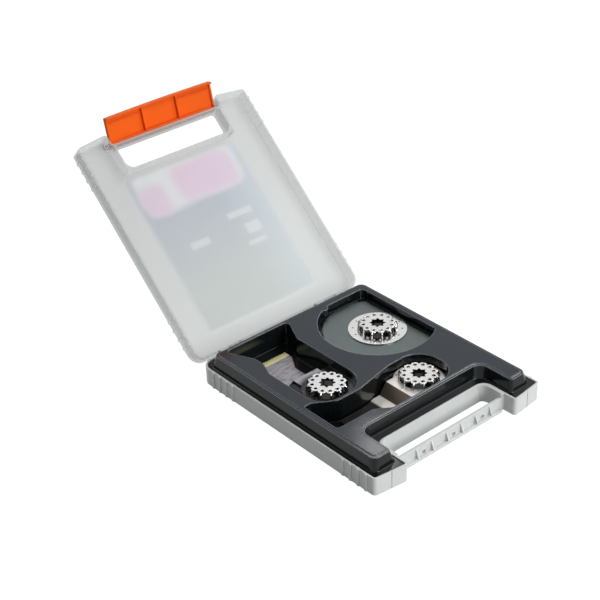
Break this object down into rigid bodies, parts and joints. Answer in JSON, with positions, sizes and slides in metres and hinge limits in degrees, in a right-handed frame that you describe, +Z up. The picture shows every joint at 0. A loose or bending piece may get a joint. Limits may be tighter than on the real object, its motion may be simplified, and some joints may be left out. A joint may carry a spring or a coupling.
{
  "type": "saw blade storage case",
  "caption": "Flat hinged case with a clear lid, a hook latch, carry handles and a formed tray that holds oscillating-tool saw blades, shown open.",
  "frame": {"origin": "middle of the base's underside, halfway between its front and back corners", "axes": "+X along the lid's hinge, -Y towards the handle, +Z up"},
  "size_m": [0.1646, 0.3416, 0.1586],
  "materials": {
    "base_plastic": "satin moulded plastic, light grey",
    "lid_plastic": "clear frosted moulded plastic",
    "latch_plastic": "satin moulded plastic, orange",
    "tray_plastic": "glossy formed sheet, black",
    "label_print": "printed label behind clear plastic",
    "pin_steel": "drawn steel",
    "disc_steel": "ground blade steel",
    "hub_steel": "bright plated stamping",
    "blade_steel": "brushed blade steel",
    "tooth_steel": "gold-coloured coated steel"
  },
  "bodies": {
    "base": {"base_shell": "base_plastic", "hinge_pin_left": "pin_steel", "hinge_pin_right": "pin_steel"},
    "lid": {"lid_shell": "lid_plastic", "lid_label": "label_print", "latch_rod": "pin_steel"},
    "latch": {"latch_flap": "latch_plastic"},
    "tray": {"blade_tray": "tray_plastic"},
    "segment_blade": {"segment_disc": "disc_steel", "segment_flange": "hub_steel", "segment_hub": "hub_steel", "segment_welds": "hub_steel"},
    "wide_blade": {"wide_blade_body": "blade_steel", "wide_blade_teeth": "tooth_steel", "wide_blade_hub": "hub_steel", "wide_blade_welds": "blade_steel"},
    "narrow_blade": {"narrow_blade_body": "blade_steel", "narrow_blade_teeth": "tooth_steel", "narrow_blade_hub": "hub_steel", "narrow_blade_welds": "blade_steel"}
  },
  "joints": [
    {"name": "lid_hinge", "type": "hinge", "parent": "base", "child": "lid", "pos_m": [0, 0.095, 0.0156], "axis": [1, 0, 0], "range_deg": [0, 137.4]},
    {"name": "latch_hinge", "type": "hinge", "parent": "lid", "child": "latch", "pos_m": [0, 0.23609, 0.13637], "axis": [1, 0, 0], "range_deg": [0, 54.5]},
    {"name": "tray_lift", "type": "slide", "parent": "base", "child": "tray", "axis": [0, 0, 1], "range_m": [0, 0.05]},
    {"name": "segment_blade_lift", "type": "slide", "parent": "tray", "child": "segment_blade", "axis": [0, 0, 1], "range_m": [0, 0.06]},
    {"name": "wide_blade_lift", "type": "slide", "parent": "tray", "child": "wide_blade", "axis": [0, 0, 1], "range_m": [0, 0.06]},
    {"name": "narrow_blade_lift", "type": "slide", "parent": "tray", "child": "narrow_blade", "axis": [0, 0, 1], "range_m": [0, 0.06]}
  ]
}
